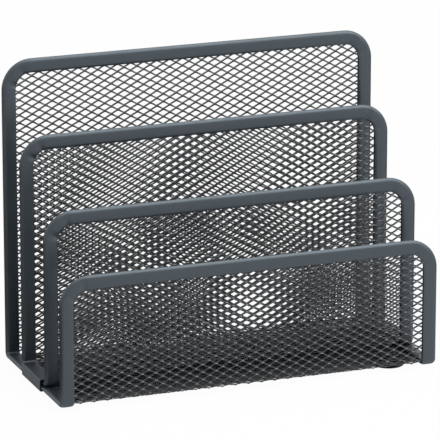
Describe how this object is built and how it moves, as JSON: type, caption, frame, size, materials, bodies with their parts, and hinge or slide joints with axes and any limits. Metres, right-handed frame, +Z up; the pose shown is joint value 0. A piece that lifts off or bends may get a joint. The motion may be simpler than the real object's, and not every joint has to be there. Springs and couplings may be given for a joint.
{
  "type": "letter holder",
  "caption": "Desk letter rack of coated steel mesh: stepped upright panels with folded rims and rounded corners, open-ended compartments for letters, on round pads.",
  "frame": {"origin": "on the desk, under the middle of the holder's width and depth", "axes": "+X to the right seen from the front, +Y towards the tall back panel, +Z up"},
  "size_m": [0.1758, 0.0786, 0.138],
  "materials": {
    "mesh_coat": "charcoal powder coat on expanded steel, low sheen",
    "rim_coat": "charcoal powder coat on folded sheet steel, satin",
    "pad_foam": "matt black self-adhesive foam rubber"
  },
  "bodies": {
    "root": {"outer_mesh": "mesh_coat", "inner_mesh": "mesh_coat", "outer_rear_rim": "rim_coat", "outer_front_rim": "rim_coat", "inner_rear_rim": "rim_coat", "inner_front_rim": "rim_coat", "left_clip": "rim_coat", "right_clip": "rim_coat", "front_left_foot": "pad_foam", "front_right_foot": "pad_foam", "rear_left_foot": "pad_foam", "rear_right_foot": "pad_foam"}
  },
  "joints": []
}
